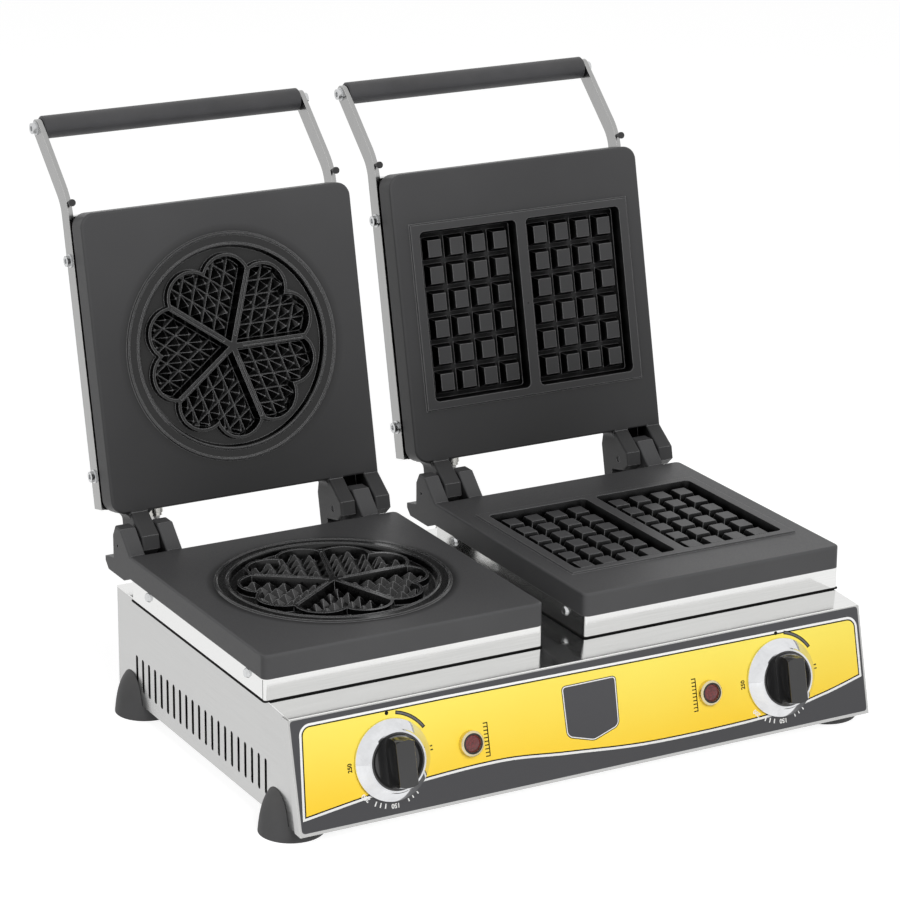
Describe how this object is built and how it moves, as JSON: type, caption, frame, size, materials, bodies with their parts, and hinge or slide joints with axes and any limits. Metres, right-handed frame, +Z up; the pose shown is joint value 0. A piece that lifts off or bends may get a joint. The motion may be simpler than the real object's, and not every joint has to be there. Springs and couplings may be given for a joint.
{
  "type": "waffle maker",
  "caption": "Twin counter-top waffle maker with hinged cast irons for heart and grid waffles, standing open on one steel cabinet with rotary thermostats.",
  "frame": {"origin": "middle of the footprint of the whole object with its lids open, at counter height", "axes": "+X to the right along the front, -Y out of the front towards the user, +Z up"},
  "size_m": [0.5968, 0.5514, 0.5157],
  "materials": {
    "cabinet_steel": "brushed stainless steel",
    "overlay_film": "printed polycarbonate film",
    "foot_rubber": "black moulded rubber",
    "fastener_steel": "bright zinc-plated steel",
    "ceramic": "unglazed steatite and moulded resin",
    "gland_plastic": "black polyamide",
    "plate_iron": "seasoned satin cast iron",
    "heater_sheath": "heat-tinted tube",
    "grip_plastic": "satin heat-resistant plastic",
    "stud_black": "black",
    "gland_metal": "nickel-plated",
    "conduit_braid": "braided metal sleeve",
    "skirt_chrome": "bright plated",
    "knob_black": "gloss black phenolic",
    "bezel_metal": "bright plated",
    "lens_red": "dark red transparent plastic"
  },
  "bodies": {
    "cabinet": {"side_panel_left": "cabinet_steel", "side_panel_right": "cabinet_steel", "top_deck": "cabinet_steel", "front_fascia": "cabinet_steel", "back_panel": "cabinet_steel", "bottom_cover": "cabinet_steel", "fascia_overlay": "overlay_film", "foot_front_left": "foot_rubber", "foot_front_right": "foot_rubber", "foot_rear_left": "foot_rubber", "foot_rear_right": "foot_rubber", "foot_screws": "fastener_steel", "terminal_block": "ceramic", "mains_gland": "gland_plastic", "left_lower_plate": "plate_iron", "left_pedestal": "cabinet_steel", "left_pedestal_screws": "fastener_steel", "left_hinge_pins": "fastener_steel", "left_lower_heater": "heater_sheath", "left_base_gland": "gland_metal", "right_lower_plate": "plate_iron", "right_pedestal": "cabinet_steel", "right_pedestal_screws": "fastener_steel", "right_hinge_pins": "fastener_steel", "right_lower_heater": "heater_sheath", "right_base_gland": "gland_metal", "left_thermostat": "ceramic", "right_thermostat": "ceramic", "left_lamp_bezel": "bezel_metal", "left_lamp_lens": "lens_red", "right_lamp_bezel": "bezel_metal", "right_lamp_lens": "lens_red", "left_conduit": "conduit_braid", "right_conduit": "conduit_braid"},
    "left_lid": {"left_upper_plate": "plate_iron", "left_upper_heater": "heater_sheath", "left_lid_cover": "cabinet_steel", "left_handle_arm_left": "cabinet_steel", "left_handle_arm_right": "cabinet_steel", "left_handle_grip": "grip_plastic", "left_handle_bolts": "fastener_steel", "left_arm_studs": "stud_black", "left_lid_gland": "gland_metal"},
    "right_lid": {"right_upper_plate": "plate_iron", "right_upper_heater": "heater_sheath", "right_lid_cover": "cabinet_steel", "right_handle_arm_left": "cabinet_steel", "right_handle_arm_right": "cabinet_steel", "right_handle_grip": "grip_plastic", "right_handle_bolts": "fastener_steel", "right_arm_studs": "stud_black", "right_lid_gland": "gland_metal"},
    "left_knob": {"left_thermostat_shaft": "fastener_steel", "left_knob_skirt": "skirt_chrome", "left_knob_grip": "knob_black"},
    "right_knob": {"right_thermostat_shaft": "fastener_steel", "right_knob_skirt": "skirt_chrome", "right_knob_grip": "knob_black"}
  },
  "joints": [
    {"name": "left_lid_hinge", "type": "hinge", "parent": "cabinet", "child": "left_lid", "pos_m": [-0.1545, 0.10387, 0.1562], "axis": [1, 0, 0], "range_deg": [0, 102.4], "deforming": ["left_conduit"]},
    {"name": "right_lid_hinge", "type": "hinge", "parent": "cabinet", "child": "right_lid", "pos_m": [0.1545, 0.10387, 0.1562], "axis": [1, 0, 0], "range_deg": [0, 102.4], "deforming": ["right_conduit"]},
    {"name": "left_knob_turn", "type": "hinge", "parent": "cabinet", "child": "left_knob", "pos_m": [-0.1945, -0.24192, 0.06186], "axis": [0, -0.9728, 0.2317], "range_deg": [-270, 0]},
    {"name": "right_knob_turn", "type": "hinge", "parent": "cabinet", "child": "right_knob", "pos_m": [0.1945, -0.24192, 0.06186], "axis": [0, -0.9728, 0.2317], "range_deg": [-270, 0]}
  ]
}
